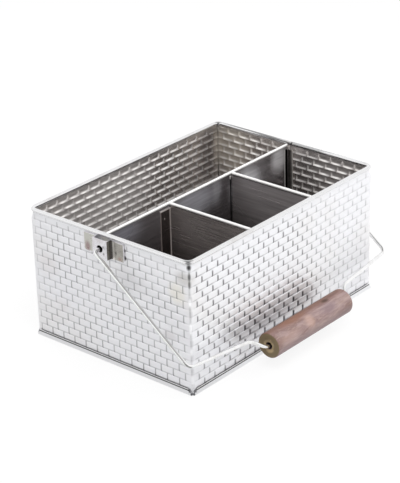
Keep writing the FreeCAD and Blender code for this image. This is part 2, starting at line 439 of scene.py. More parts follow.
@dataclass(frozen=True)
class Patch:
    """A crisp patch of another colour on a finish, in millimetres."""

    low: Triple
    high: Triple
    colour: Triple
    amount: float = 1.0
    dull: float = 0.0
    grained: bool = False

    def mask(self, graph: Surface) -> Socket:
        """Places the patch in a material's graph.

        Args:
            graph: The material's graph.

        Returns:
            The patch's mask, from 0 to its amount.
        """
        ends = list(zip(self.low, self.high))
        inputs = {
            "Vector": graph.place,
            "Centre": [(low + high) / 2 * MM for low, high in ends],
            "Half": [(high - low) / 2 * MM for low, high in ends],
        }
        return graph.product(graph.group(ruled_patch(), inputs)["Mask"], self.amount)


@dataclass(frozen=True)
class SteelFinish:
    """A steel finish: brushed grain, faint stains and a roughness that varies, and, where a finish asks for
    them, a painted highlight along the top bead, painted shade towards the foot, and spots and patches, many
    of them painted light and shade.
    """

    name: str
    colour: Triple
    stain: Triple
    stain_amount: float
    roughness: float
    roughness_spread: float
    grain: Triple
    grain_depth: float
    stain_size: float = 22.0
    metallic: float = 1.0
    # Painted highlight along the top bead: its colour, the heights it comes in over, and how much less
    # metallic it is.
    bead_highlight_colour: Triple | None = None
    bead_highlight_span: Span = (0.118, 0.1183)
    bead_highlight_dull: float = 0.35
    # Painted shade towards the foot: its colour, the heights it fades in over, and how strong it is.
    low_shade_colour: Triple | None = None
    low_shade_span: Span = (0.11, 0.05)
    low_shade_amount: float = 0.9
    # Spots and patches: some are stains, many are painted light and shade.
    accents: tuple[Spot | Patch, ...] = ()

    @property
    def dulled(self) -> bool:
        """Whether some places are less metallic than the rest."""
        return self.bead_highlight_colour is not None or any(accent.dull for accent in self.accents)

    def material(self) -> bpy.types.Material:
        """Builds the finish as a material.

        Returns:
            The material.
        """
        graph = Surface(self.name)
        skin = self.skin(graph)
        colour = skin["Colour"]
        height = graph.split(graph.place)[2]
        # Painted shade, darker towards the foot.
        if self.low_shade_colour is not None:
            low = graph.rescale(height, *self.low_shade_span, 0.0, self.low_shade_amount, smooth=True)
            colour = graph.blend(low, colour, linear(self.low_shade_colour))
        colour, dull = self.accented(graph, skin, colour)
        # Painted highlight along the top bead.
        if self.bead_highlight_colour is not None:
            in_bead_highlight = graph.rescale(height, *self.bead_highlight_span)
            colour = graph.blend(in_bead_highlight, colour, linear(self.bead_highlight_colour))
            dull = graph.blend(in_bead_highlight, dull, [self.bead_highlight_dull] * 3)
        return self.shade(graph, skin, colour, dull)

    def accented(
        self, graph: Surface, skin: bpy.types.NodeOutputs, colour: Socket
    ) -> tuple[Socket, object]:
        """Lays the finish's spots and patches over its colour.

        Args:
            graph: The material's graph.
            skin: The metal skin's outputs.
            colour: The colour under them.

        Returns:
            The new colour, and how much less metallic each place is where that varies.
        """
        dull: object = (0.0, 0.0, 0.0)
        for accent in self.accents:
            mask = accent.mask(graph)
            tone = linear(accent.colour)
            if accent.grained:
                tone = graph.blend(1.0, tone, skin["Grain"], "MULTIPLY")
            colour = graph.blend(mask, colour, tone)
            if self.dulled:
                dull = graph.blend(mask, dull, [accent.dull] * 3)
        return colour, dull

    def skin(self, graph: Surface) -> bpy.types.NodeOutputs:
        """Places the shared metal skin with this finish's values.

        Args:
            graph: The material's graph.

        Returns:
            The skin's outputs.
        """
        return graph.group(metal_skin(), {
            "Vector": graph.place, "Grain Stretch": self.grain, "Grain Depth": self.grain_depth,
            "Colour": (*linear(self.colour), 1.0), "Stain": (*linear(self.stain), 1.0),
            "Stain Size": self.stain_size, "Stain Amount": self.stain_amount,
            "Roughness": self.roughness, "Roughness Spread": self.roughness_spread,
        })

    def shade(
        self, graph: Surface, skin: bpy.types.NodeOutputs, colour: Socket, dull: object
    ) -> bpy.types.Material:
        """Ends the graph in a metal shader.

        Args:
            graph: The material's graph.
            skin: The metal skin's outputs.
            colour: The socket that feeds the base colour.
            dull: How much less metallic each place is, read only where that varies.

        Returns:
            The finished material.
        """
        return graph.end(graph.add("ShaderNodeBsdfPrincipled", {
            "Base Color": colour,
            "Roughness": skin["Roughness"],
            "Normal": skin["Normal"],
            "Metallic": graph.math("SUBTRACT", self.metallic, dull) if self.dulled else self.metallic,
        }))


@dataclass(frozen=True)
class FrontJoints:
    """How the joints' painted shade differs on the front wall, and is wider and darker round one spot, where
    it is a painted reflection of the grip.
    """

    grip_reflection: Spot
    wall_span: Span = (-0.087, -0.0885)
    bed_fade: float = 0.42
    head_from: float = 0.2
    # How strongly the joints' painted shade shows along the front wall, strongest to the left.
    gain_span: Span = (-0.02, 0.1)
    gains: Span = (1.3, 0.36)
    grip_reflection_gain: float = 1.8
    grip_reflection_width: float = 1.5

    def vary(self, graph: Surface, inputs: dict[str, object], held: Socket) -> Socket:
        """Sets this wall's own joints.

        Args:
            graph: The material's graph.
            inputs: The brick marks' inputs, which are changed.
            held: How strongly the joints show elsewhere.

        Returns:
            How strongly the joints show everywhere.
        """
        x, y, _ = graph.split(graph.place)
        at_front = graph.rescale(y, *self.wall_span)
        for name, value in (("Bed Fade", self.bed_fade), ("Head From", self.head_from)):
            inputs[name] = graph.swap(at_front, inputs[name], value)
        gain = graph.rescale(x, *self.gain_span, *self.gains, smooth=True)
        # Painted reflection of the grip: wider, darker joints round this spot.
        mask = self.grip_reflection.mask(graph)
        for name in ("Head Width", "Bed Width"):
            inputs[name] = graph.swap(mask, inputs[name], inputs[name] * self.grip_reflection_width)
        return graph.product(
            held, graph.swap(at_front, 1.0, gain), graph.swap(mask, 1.0, self.grip_reflection_gain)
        )


@dataclass(frozen=True)
class InnerJoints:
    """How the painted highlights on the joints inside fade along the rear wall and downwards, and face the
    other way on the right.
    """

    right_span: Span = (0.1225, 0.1235)
    dim_span: Span = (0.03, 0.118)
    dim_level: float = 0.45
    low_span: Span = (0.045, 0.085)
    low_level: float = 0.6

    def vary(self, graph: Surface, inputs: dict[str, object], held: Socket) -> Socket:
        """Sets the inner face's own joints.

        Args:
            graph: The material's graph.
            inputs: The brick marks' inputs, which are changed.
            held: How strongly the joints show elsewhere.

        Returns:
            How strongly the joints show everywhere.
        """
        x, _, z = graph.split(graph.place)
        inputs["Mirror"] = graph.rescale(x, *self.right_span)
        dim = graph.rescale(x, *self.dim_span, 1.0, self.dim_level, smooth=True)
        return graph.product(
            held, graph.math("MAXIMUM", dim, inputs["Mirror"]),
            graph.rescale(z, *self.low_span, self.low_level, 1.0, smooth=True),
        )


@dataclass(frozen=True)
class EmbossedFinish(SteelFinish):
    """Steel finish of the embossed sheet. The joints beside and below each brick carry painted shade outside
    and painted highlights inside, and each brick's upper part carries painted shade inside.
    """

    varied: FrontJoints | InnerJoints = InnerJoints()
    # The joints' painted light: painted shade in the grooves outside, painted highlights on the ridges
    # inside.
    head_painted_light: Triple = (0.0, 0.0, 0.0)
    head_amount: float = 0.8
    head_dull: float = 0.0
    head_from: float = -1.0
    head_width: float = 0.09
    bed_painted_light: Triple = (0.0, 0.0, 0.0)
    bed_amount: float = 0.5
    bed_dull: float = 0.0
    bed_width: float = 0.18
    bed_fade: float = 2.0
    bed_rest: float = 0.0
    # Painted shade in each brick's upper part.
    pocket_shade_colour: Triple = (0.0, 0.0, 0.0)
    pocket_shade_amount: float = 0.0
    shift: Span = (0.03, -0.06)
    patch_scale: float = 16.0
    patch_span: Span = (0.35, 0.65)
    faintest: float = 0.55

    @property
    def dulled(self) -> bool:
        """Whether some places, joints included, are less metallic than the rest."""
        return super().dulled or self.head_dull > 0 or self.bed_dull > 0

    def material(self) -> bpy.types.Material:
        """Builds the finish as a material that reads the sheet's flat coordinates.

        Returns:
            The material.
        """
        graph = Surface(self.name)
        skin = self.skin(graph)
        inputs = {
            "Flat Place": graph.add("ShaderNodeUVMap", uv_map=EmbossedWall.FLAT_MAP).outputs[0],
            "Head Width": self.head_width, "Head From": self.head_from, "Bed Width": self.bed_width,
            "Bed Fade": self.bed_fade, "Bed Rest": self.bed_rest, "Along Shift": self.shift[0],
            "Down Shift": self.shift[1],
        }
        depth = graph.add("ShaderNodeAttribute", attribute_name=EmbossedWall.DEPTH).outputs["Fac"]
        cloud = graph.noise(graph.place, self.patch_scale, detail=2.0)
        held = graph.product(depth, graph.rescale(cloud, *self.patch_span, self.faintest, 1.0, smooth=True))
        held = self.varied.vary(graph, inputs, held)
        marks = graph.group(brick_marks(), inputs)
        # Painted light in the joints beside and below each brick, and painted shade in its upper part.
        head = graph.product(marks["Head"], self.head_amount, held)
        bed = graph.product(marks["Bed"], self.bed_amount, held)
        pocket_shade = graph.product(marks["Pocket"], self.pocket_shade_amount, depth)
        colour = graph.blend(pocket_shade, skin["Colour"], linear(self.pocket_shade_colour))
        colour, dull = self.accented(graph, skin, colour)
        colour = graph.blend(bed, colour, linear(self.bed_painted_light))
        colour = graph.blend(head, colour, linear(self.head_painted_light))
        for mark, mark_dull in ((head, self.head_dull), (bed, self.bed_dull)):
            if mark_dull:
                dull = graph.math("MAXIMUM", dull, graph.product(mark, mark_dull))
        return self.shade(graph, skin, colour, dull)


@dataclass(frozen=True)
class WalnutFinish:
    """Oiled walnut with its grain along X and rings on the ends, and painted shade round its side and in its
    bore.
    """

    name: str
    pale: Triple
    middle: Triple
    dark: Triple
    end_pale: Triple
    end_dark: Triple
    # Painted shade round the side: the tone where the side faces up and back, then where it faces down and
    # forward.
    upper_side_shade: Triple
    lower_side_shade: Triple
    # Painted shade inside the bore.
    bore: Triple
    marks: tuple[Spot, ...]
    sweep_stretch: Triple = (26.0, 84.0, 84.0)
    fine_stretch: Triple = (60.0, 460.0, 460.0)
    fleck_stretch: Triple = (130.0, 640.0, 640.0)
    wobble_scale: float = 160.0
    ring_wobble: float = 0.006
    ring_pitch: float = 190.0
    ring_base: float = 0.75
    middle_span: Span = (0.36, 0.52)
    heart_span: Span = (0.0068, 0.0102)
    heart_levels: Span = (0.95, 0.08)
    end_span: Span = (0.05215, 0.0524)
    # Painted shade in the bore: the radii it fades out over, and its strength.
    bore_shade_span: Span = (0.0028, 0.0037)
    bore_shade_amount: float = 0.95
    # The way, in Y and Z, that the side with the upper painted shade faces.
    shade_axis: Span = (0.583, 0.812)
    roughness_span: Span = (0.2, 0.8)
    roughness: Span = (0.42, 0.6)
    specular: float = 0.4
    bump_strength: float = 0.25
    bump_height: float = 0.0002

    def material(self, axis_y: float, axis_z: float) -> bpy.types.Material:
        """Builds the finish as a material.

        Args:
            axis_y: Where the grip's axis lies in Y, in millimetres.
            axis_z: Its height.

        Returns:
            The material.
        """
        graph = Surface(self.name)
        shift = {"Vector": graph.place, "Location": (0.0, -axis_y * MM, -axis_z * MM)}
        graph.place = graph.add("ShaderNodeMapping", shift).outputs[0]
        x, y, z = graph.split(graph.place)
        radius = graph.math("SQRT", graph.math("ADD", graph.product(y, y), graph.product(z, z)))
        stretched = graph.vector_math("MULTIPLY", graph.place, self.sweep_stretch)
        sweep = graph.noise(stretched, detail=6.0, roughness=0.6, distortion=1.5)
        fine = graph.noise(graph.vector_math("MULTIPLY", graph.place, self.fine_stretch), roughness=0.6)
        at_end = graph.rescale(graph.math("ABSOLUTE", x), *self.end_span)
        side = self._side_colour(graph, radius, sweep, fine)
        colour = graph.blend(at_end, side, self._end_colour(graph, radius))
        # Painted shade, darkening the bore.
        bore_shade = graph.rescale(radius, *self.bore_shade_span, self.bore_shade_amount, 0.0)
        bump = {"Strength": self.bump_strength, "Distance": self.bump_height, "Height": fine}
        return graph.end(graph.add("ShaderNodeBsdfPrincipled", {
            "Base Color": graph.blend(bore_shade, colour, linear(self.bore)),
            "Roughness": graph.rescale(sweep, *self.roughness_span, *self.roughness),
            "Normal": graph.add("ShaderNodeBump", bump).outputs["Normal"],
            "Specular IOR Level": self.specular,
        }))

    def _side_colour(self, graph: Surface, radius: Socket, sweep: Socket, fine: Socket) -> Socket:
        """Lays grain, painted shade round the side, and marks over the grip's side.

        Args:
            graph: The material's graph.
            radius: Distance from the grip's axis.
            sweep: The broad grain.
            fine: The fine grain.

        Returns:
            The colour's socket.
        """
        stretched = graph.vector_math("MULTIPLY", graph.place, self.fleck_stretch)
        flecks = graph.noise(stretched, detail=2.0, roughness=0.6)
        _, y, z = graph.split(graph.place)
        # Painted shade round the side: how far the surface faces along the shade axis.
        up = graph.math("ADD", graph.product(y, self.shade_axis[0]), graph.product(z, self.shade_axis[1]))
        turned = graph.math("DIVIDE", up, graph.math("MAXIMUM", radius, MM))
        base = graph.blend(
            graph.rescale(sweep, *self.middle_span, smooth=True), linear(self.dark), linear(self.middle)
        )
        for value, span, amount, colour, smooth in (
            (sweep, (0.5, 0.68), 1.0, self.pale, True),
            (fine, (0.38, 0.66), 0.5, self.dark, False),
            (flecks, (0.54, 0.7), 0.45, self.pale, False),
            # Painted shade: one tone where the side faces up and back, another where it faces down and
            # forward.
            (turned, (0.5, 0.95), 0.75, self.upper_side_shade, True),
            (turned, (-0.35, -0.95), 0.7, self.lower_side_shade, True),
        ):
            base = graph.blend(graph.rescale(value, *span, 0.0, amount, smooth), base, linear(colour))
        for mark in self.marks:
            base = graph.blend(mark.mask(graph), base, linear(mark.colour))
        return base

    def _end_colour(self, graph: Surface, radius: Socket) -> Socket:
        """Draws the rings that the grip's ends show.

        Args:
            graph: The material's graph.
            radius: Distance from the grip's axis.

        Returns:
            The colour's socket.
        """
        wobble = graph.noise(graph.place, self.wobble_scale, detail=2.0)
        ring_place = graph.math("MULTIPLY_ADD", wobble, self.ring_wobble, radius)
        rings = graph.math("PINGPONG", graph.product(ring_place, self.ring_pitch), 0.5)
        inward = graph.rescale(ring_place, *self.heart_span, *self.heart_levels, smooth=True)
        share = graph.product(graph.math("ADD", rings, self.ring_base), inward)
        return graph.blend(share, linear(self.end_dark), linear(self.end_pale))


def finish_piece(
    name: str, shape: bmesh.types.BMesh, materials: list[bpy.types.Material]
) -> bpy.types.Object:
    """Turns a finished bmesh, in millimetres, into an object at the origin.

    Args:
        name: The piece's name.
        shape: The bmesh, which is freed.
        materials: Its materials, in the order of its faces' material numbers.

    Returns:
        The new object.
    """
    bmesh.ops.scale(shape, vec=(MM, MM, MM), verts=shape.verts)
    mesh = bpy.data.meshes.new(name)
    shape.to_mesh(mesh)
    shape.free()
    for material in materials:
        mesh.materials.append(material)
    for polygon in mesh.polygons:
        polygon.use_smooth = True
    piece = bpy.data.objects.new(name, mesh)
    bpy.context.scene.collection.objects.link(piece)
    LOG.info("%s: %d faces", name, len(mesh.polygons))
    return piece


def cut(
    shape: bmesh.types.BMesh, place: Triple, normal: Triple, merge: float = MERGE, trim: bool = False
) -> None:
    """Cuts a shape along a plane.

    Args:
        shape: The shape.
        place: A place on the plane.
        normal: The plane's normal.
        merge: How near to the plane a corner counts as on it.
        trim: Whether what lies on the normal's side is removed.
    """
    bmesh.ops.bisect_plane(
        shape, geom=[*shape.verts, *shape.edges, *shape.faces], dist=merge, plane_co=place, plane_no=normal,
        clear_outer=trim,
    )


@dataclass(frozen=True)
class Relief:
    """How one face of the sheet rises from the joints round each brick."""

    joint_level: float
    rise: float
    crown: float
    flat: float
    slope_run: float
    crown_run: float
    top_share: float
    bend_share: float
    bend_fade: Span


@dataclass
class EmbossedWall:
    """The strip of embossed sheet bent into the four walls."""

    outside: EmbossedFinish
    inside: EmbossedFinish
    length: float = 252.0
    width: float = 180.0
    corner: float = 2.5
    thickness: float = 0.6
    brick: float = 13.4
    course: float = 6.715
    courses: int = 17
    top_course: float = 119.5
    sheet_top: float = 121.3
    sheet_foot: float = 0.65
    outer_relief: Relief = Relief(-0.4, 0.62, 0.05, 0.14, 0.5, 0.4, 0.65, 0.2, (1.6, 6.5))
    inner_relief: Relief = Relief(-0.75, 1.1, 0.12, 0.2, 0.9, 0.7, 0.88, 0.3, (1.2, 3.6))
    inner_limit: float = -1.22
    pressed_level: float = -0.03
    bracket_near: Span = (-26.2, 32.2)
    bracket_above: float = 98.8
    end_depth: float = 1.0
    seam_place: float = 92.0
    seam_margin: float = 2.2
    seam_gap: float = 0.1
    reach_right: float = 1.06
    reach_left: float = 0.56
    rear_draw: float = 4.4
    rear_run: float = 26.8
    plain_from: float = 117.6
    plain_run: float = 0.7
    top_depth: float = 0.3
    tuck_from: float = 112.5
    tuck_to: float = 119.3
    tuck_corner: float = 6.3
    bend_steps: int = 6
    bend_merge: float = 0.02

    FLAT_MAP = "flat_sheet"
    DEPTH = "joint_depth"

    @property
    def half_arc(self) -> float:
        """Length of sheet from a bend's middle to its end."""
        return self.corner * math.pi / 4

    @property
    def perimeter(self) -> float:
        """Length of the bent strip, seam to seam."""
        return 2 * (self.length + self.width) - 8 * self.corner + 8 * self.half_arc

    def build(self) -> bpy.types.Object:
        """Makes the strip flat, embosses it, gives it thickness and bends it round the box.

        Returns:
            The walls as one piece.
        """
        shape = bmesh.new()
        seam = 3 * self.half_arc + (self.length - 2 * self.corner) + self.seam_place - self.corner
        ends = (seam - self.perimeter + self.seam_gap, seam - self.seam_gap)
        self._press(shape, self.outer_relief, ends)
        inner = bmesh.new()
        self._press(inner, self.inner_relief, ends)
        self._join(shape, inner)
        for vert in shape.verts:
            vert.co = self._bent(vert.co.x, vert.co.y, vert.co.z)
        return finish_piece("embossed_wall", shape, [self.outside.material(), self.inside.material()])

    def _press(self, shape: bmesh.types.BMesh, relief: Relief, ends: Span) -> None:
        """Makes one face of the sheet, still flat.

        Args:
            shape: The bmesh to fill.
            relief: How that face is embossed.
            ends: The strip's ends along X.
        """
        self._lay_bricks(shape, ends)
        self._emboss(shape, relief)
        self._draw_bond(shape)
        self._add_margins(shape, ends)
        self._cut_bends(shape)
        self._ease_bends(shape, relief)
        self._map_flat(shape)

    def _lay_bricks(self, shape: bmesh.types.BMesh, ends: Span) -> None:
        """Lays a flat sheet of bricks in running bond, trimmed at both ends.

        Args:
            shape: The bmesh to fill; X runs along the strip and Y is height.
            ends: The strip's ends along X.
        """
        half_brick = self.brick / 2
        low = math.floor(ends[0] / half_brick) - 1
        high = math.ceil(ends[1] / half_brick) + 1
        columns = high - low
        bmesh.ops.create_grid(shape, x_segments=columns, y_segments=self.courses, size=0.5)
        bmesh.ops.scale(shape, vec=(columns * half_brick, self.courses * self.course, 1), verts=shape.verts)
        middle = Vector(((low + high) / 2 * half_brick, self.top_course - self.courses * self.course / 2, 0))
        bmesh.ops.translate(shape, vec=middle, verts=shape.verts)
        joined = []
        for edge in shape.edges:
            first, second = edge.verts
            if abs(first.co.x - second.co.x) > half_brick / 2 or edge.is_boundary:
                continue
            column = round(first.co.x / half_brick)
            row = math.floor((self.top_course - (first.co.y + second.co.y) / 2) / self.course)
            if (column + row) % 2:
                joined.append(edge)
        bmesh.ops.dissolve_edges(shape, edges=joined, use_verts=False)
        inner = (ends[0] + self.seam_margin, ends[1] - self.seam_margin)
        for place, normal in ((inner[0], -1), (inner[1], 1)):
            cut(shape, (place, 0, 0), (normal, 0, 0), trim=True)

    def _emboss(self, shape: bmesh.types.BMesh, relief: Relief) -> None:
        """Raises every brick from the joints round it, less in the top row and hardly under the brackets.

        Args:
            shape: The flat sheet of bricks.
            relief: How that face of the sheet is embossed.
        """
        depth = shape.verts.layers.float.new(self.DEPTH)
        groups: dict[Pressing, list[bmesh.types.BMFace]] = {kind: [] for kind in Pressing}
        for brick in shape.faces:
            groups[self._kind(brick.calc_center_median())].append(brick)
        bmesh.ops.translate(shape, vec=(0, 0, relief.joint_level), verts=shape.verts)
        rise, crown = relief.rise, relief.crown
        for kind, rises in (
            (Pressing.FULL, (rise, crown)),
            (Pressing.TOP, (rise * relief.top_share, crown * relief.top_share)),
            (Pressing.UNDER_BRACKET, (self.pressed_level - relief.joint_level, 0.0)),
        ):
            for run, lift in ((relief.flat, 0.0), (relief.slope_run, rises[0]), (relief.crown_run, rises[1])):
                bmesh.ops.inset_individual(
                    shape, faces=groups[kind], thickness=run, depth=lift, use_even_offset=True
                )
        for vert in shape.verts:
            below = clamped((self.plain_from - vert.co.y) / self.course)
            vert[depth] = self.top_depth + (1 - self.top_depth) * below
        for height in (self.plain_from, self.plain_from - self.plain_run):
            cut(shape, (0, height, 0), (0, 1, 0))
        for vert in shape.verts:
            if vert.co.y > self.plain_from - MERGE:
                vert.co.z = 0.0
                vert[depth] = 0.0

    def _kind(self, middle: Vector) -> Pressing:
        """Tells how far a brick is raised from where it lies.

        Args:
            middle: The brick's middle on the flat sheet.

        Returns:
            How far it is pressed.
        """
        place = self._bent(middle.x, middle.y, 0.0)
        near, far = self.bracket_near
        at_end = abs(place.x) > self.length / 2 - self.end_depth
        if at_end and near < place.y < far and middle.y > self.bracket_above:
            return Pressing.UNDER_BRACKET
        return Pressing.TOP if middle.y > self.top_course - self.course else Pressing.FULL

    def _draw_bond(self, shape: bmesh.types.BMesh) -> None:
        """Widens the bond at the front left bend, and draws it along the stretched rear wall.

        Args:
            shape: The flat, embossed face.
        """
        for side, reach in ((1, self.reach_right), (-1, self.reach_left)):
            beyond = [vert for vert in shape.verts if vert.co.x * side > NEAR]
            bmesh.ops.translate(shape, vec=(side * reach, 0, 0), verts=beyond)
        for vert in shape.verts:
            vert.co.x = self._drawn(vert.co.x)

    def _drawn(self, along: float, back: bool = False) -> float:
        """Follows the rear wall's draw.

        Args:
            along: A place along the strip.
            back: Undoes the draw.

        Returns:
            Where the place is drawn to or, going back, where it was laid.
        """
        near, far = self._bends()[3:]
        laid = (far, far + self.rear_run, near - self.rear_run, near)
        drawn = (far, laid[1] + self.rear_draw, laid[2] + self.rear_draw, near)
        source, target = (drawn, laid) if back else (laid, drawn)
        for low, high, to_low, to_high in zip(source, source[1:], target, target[1:]):
            if low <= along <= high:
                return to_low + (along - low) / (high - low) * (to_high - to_low)
        return along

    def _ease_bends(self, shape: bmesh.types.BMesh, relief: Relief) -> None:
        """Flattens the relief where the sheet is bent.

        Args:
            shape: The flat, embossed face.
            relief: How far from a bend, and how much, that face flattens.
        """
        depth = shape.verts.layers.float[self.DEPTH]
        near, far = relief.bend_fade
        for vert in shape.verts:
            away = min(abs(vert.co.x - span) for span in self._bends())
            share = relief.bend_share + (1 - relief.bend_share) * eased((away - near) / (far - near))
            vert.co.z *= share
            vert[depth] *= share

    def _bends(self) -> list[float]:
        """Finds the bends.

        Returns:
            Where their middles lie along the strip.
        """
        long_step = self.length - 2 * self.corner + 2 * self.half_arc
        short_step = self.width - 2 * self.corner + 2 * self.half_arc
        return [0.0, long_step, long_step + short_step, -short_step, -short_step - long_step]

    def _add_margins(self, shape: bmesh.types.BMesh, ends: Span) -> None:
        """Adds the plain strips along the seam, up to the rim and down to the base.

        Args:
            shape: The flat, embossed face.
            ends: The strip's ends along X.
        """
        for axis, place, target, level in (
            (0, min(v.co.x for v in shape.verts), ends[0], None),
            (0, max(v.co.x for v in shape.verts), ends[1], None),
            (1, self.top_course, self.sheet_top, 0.0),
            (1, self.top_course - self.courses * self.course, self.sheet_foot, 0.0),
        ):
            rim = [
                edge for edge in shape.edges
                if edge.is_boundary and all(abs(vert.co[axis] - place) < NEAR for vert in edge.verts)
            ]
            made = bmesh.ops.extrude_edge_only(shape, edges=rim)["geom"]
            for vert in (item for item in made if isinstance(item, bmesh.types.BMVert)):
                vert.co[axis] = target
                if level is not None:
                    vert.co.z = level

    def _cut_bends(self, shape: bmesh.types.BMesh) -> None:
        """Cuts upright lines through the sheet wherever it bends.

        Args:
            shape: The flat, embossed face.
        """
        lines = [
            span + self.half_arc * (2 * step / self.bend_steps - 1)
            for span in self._bends() for step in range(self.bend_steps + 1)
        ]
        for line in lines:
            cut(shape, (line, 0, 0), (1, 0, 0), self.bend_merge)

    def _map_flat(self, shape: bmesh.types.BMesh) -> None:
        """Keeps each place on the flat sheet, in bricks and courses, as a UV map.

        Args:
            shape: The flat, embossed face.
        """
        layer = shape.loops.layers.uv.new(self.FLAT_MAP)
        for face in shape.faces:
            for loop in face.loops:
                along = self._drawn(loop.vert.co.x, back=True)
                reach = self.reach_right if along > 0 else self.reach_left
                along = math.copysign(max(abs(along) - reach, 0.0), along)
                loop[layer].uv = (along / self.brick, (self.top_course - loop.vert.co.y) / self.course)

    def _join(self, shape: bmesh.types.BMesh, inner: bmesh.types.BMesh) -> None:
        """Sets the sheet's inner face behind its outer one and closes the edges between the two.

        Args:
            shape: The outer face, which takes in the inner one.
            inner: The inner face, which is freed.
        """
        bmesh.ops.translate(inner, vec=(0, 0, -self.thickness), verts=inner.verts)
        for vert in inner.verts:
            vert.co.z = max(vert.co.z, self.inner_limit)
        bmesh.ops.reverse_faces(inner, faces=inner.faces)
        for face in inner.faces:
            face.material_index = 1
        passing = bpy.data.meshes.new("inner_face")
        inner.to_mesh(passing)
        inner.free()
        shape.from_mesh(passing)
        bpy.data.meshes.remove(passing)
        bmesh.ops.bridge_loops(shape, edges=[edge for edge in shape.edges if edge.is_boundary])

    def _bent(self, run: float, height: float, out: float) -> Vector:
        """Where a place on the flat strip lies once the strip is bent.

        Args:
            run: Distance along the strip from the front left bend's middle.
            height: Height above the table.
            out: Distance outside the sheet's outer face.

        Returns:
            The place round the box.
        """
        left = (run + self.half_arc) % self.perimeter
        straights = (self.length - 2 * self.corner, self.width - 2 * self.corner)
        centre = Vector((-straights[0] / 2, -straights[1] / 2))
        for side in range(4):
            heading = side * math.pi / 2
            if left <= 2 * self.half_arc:
                heading += left / self.corner - math.pi / 2
                left = 0.0
                straight = 0.0
            else:
                left -= 2 * self.half_arc
                straight = min(left, straights[side % 2])
                left -= straight
            centre += Vector((math.cos(heading), math.sin(heading))) * straight
            if left <= TINY:
                break
        place = centre + Vector((math.sin(heading), -math.cos(heading))) * (self.corner + out)
        place = self._tucked(place, height, out)
        return Vector((place.x, place.y, height))

    def _tucked(self, place: Vector, height: float, out: float) -> Vector:
        """Draws the wall's corners in under the rim's wider corners.

        Args:
            place: The place round the box, seen from above.
            height: Height above the table.
            out: Distance outside the sheet's outer face.

        Returns:
            Where it is drawn to.
        """
        share = eased((height - self.tuck_from) / (self.tuck_to - self.tuck_from))
        hub = Vector((
            math.copysign(self.length / 2 - self.tuck_corner, place.x),
            math.copysign(self.width / 2 - self.tuck_corner, place.y),
        ))
        spoke = place - hub
        if share <= 0 or spoke.x * hub.x < 0 or spoke.y * hub.y < 0:
            return place
        rounded = hub + spoke.normalized() * (self.tuck_corner + out)
        return place.lerp(rounded, share)


@dataclass
class RolledRim:
    """The walls' top edge, curled over its wire all the way round."""

    finish: SteelFinish
    length: float = 251.4
    width: float = 179.4
    corner: float = 6.0
    height: float = 121.3
    radius: float = 1.9
    sheet: float = 0.4
    seam_place: float = -0.5
    seam_gap: float = 1.0
    sides: int = 24
    lip_sides: int = 2
    lip: Triple = (0.45, 0.0, -0.89)
    corner_steps: int = 10

    def build(self) -> bpy.types.Object:
        """Sweeps the curl round the box from one side of the seam to the other.

        Returns:
            The curl as one piece.
        """
        shape = bmesh.new()
        start = Vector((self.length / 2, self.seam_place + self.seam_gap / 2, self.height))
        turn = Matrix.Rotation(math.pi / 2, 4, "X")
        bmesh.ops.create_circle(shape, cap_ends=False, radius=self.radius, segments=self.sides, matrix=turn)
        under = sorted(shape.edges, key=lambda edge: self._off_lip(edge))[: self.lip_sides]
        bmesh.ops.delete(shape, geom=under, context="EDGES")
        bmesh.ops.translate(shape, vec=start, verts=shape.verts)
        profile = list(shape.edges)
        straights = (self.width / 2 - self.corner, self.length / 2 - self.corner)
        stops = [
            (0, straights[0] - start.y), (-2 * straights[1], 0), (0, -2 * straights[0]),
            (2 * straights[1], 0), (0, straights[0] + self.seam_place - self.seam_gap / 2),
        ]
        hubs = [
            (straights[1], straights[0]), (-straights[1], straights[0]),
            (-straights[1], -straights[0]), (straights[1], -straights[0]),
        ]
        for number, (across, along) in enumerate(stops):
            made = bmesh.ops.extrude_edge_only(shape, edges=profile)["geom"]
            profile = [item for item in made if isinstance(item, bmesh.types.BMEdge) and item.is_boundary]
            moved = [item for item in made if isinstance(item, bmesh.types.BMVert)]
            bmesh.ops.translate(shape, vec=(across, along, 0), verts=moved)
            profile = [edge for edge in profile if all(vert in moved for vert in edge.verts)]
            if number < len(hubs):
                hub = Vector((*hubs[number], self.height))
                made = bmesh.ops.spin(
                    shape, geom=profile + moved, cent=hub, axis=(0, 0, 1), angle=math.pi / 2,
                    steps=self.corner_steps, use_merge=False, use_duplicate=False,
                )["geom_last"]
                profile = [item for item in made if isinstance(item, bmesh.types.BMEdge)]
        bmesh.ops.remove_doubles(shape, verts=shape.verts, dist=MERGE)
        bmesh.ops.recalc_face_normals(shape, faces=shape.faces)
        self._face_out(shape)
        bmesh.ops.solidify(shape, geom=list(shape.faces), thickness=self.sheet)
        return finish_piece("rolled_rim", shape, [self.finish.material()])

    def _off_lip(self, edge: bmesh.types.BMEdge) -> float:
        """How far an edge of the section is from the curl's open lip, outside and below."""
        middle = (edge.verts[0].co + edge.verts[1].co) / 2
        return (middle - Vector(self.lip) * self.radius).length

    def _face_out(self, shape: bmesh.types.BMesh) -> None:
        """Turns the faces outwards if the sweep left them inside out.

        Args:
            shape: The swept curl.
        """
        face = max(shape.faces, key=lambda item: item.calc_center_median().z)
        if face.normal.z < 0:
            bmesh.ops.reverse_faces(shape, faces=shape.faces)


